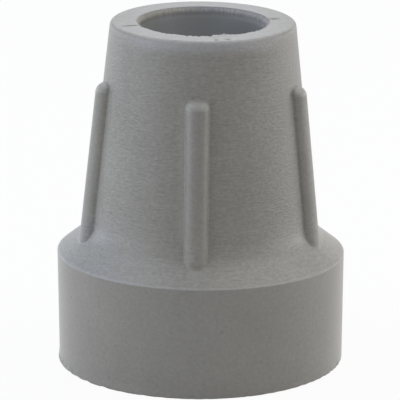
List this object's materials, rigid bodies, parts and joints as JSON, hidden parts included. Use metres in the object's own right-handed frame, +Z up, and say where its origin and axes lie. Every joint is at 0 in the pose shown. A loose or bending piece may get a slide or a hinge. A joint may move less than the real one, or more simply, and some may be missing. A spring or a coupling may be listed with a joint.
{
  "type": "rubber cane tip",
  "caption": "Grey rubber tip for a walking cane: a round foot with a ringed tread, a sloped shoulder and a tapered, ribbed neck with a blind socket that grips the shaft.",
  "frame": {"origin": "on the axis of the tip, where the sole meets the ground", "axes": "+Z up along the socket towards its mouth, -Y towards the front, where one rib stands close to the middle"},
  "size_m": [0.0438, 0.0438, 0.0528],
  "materials": {
    "rubber": "matte moulded grey rubber with fine turning lines from the mould"
  },
  "bodies": {
    "root": {"cane_tip": "rubber"}
  },
  "joints": []
}
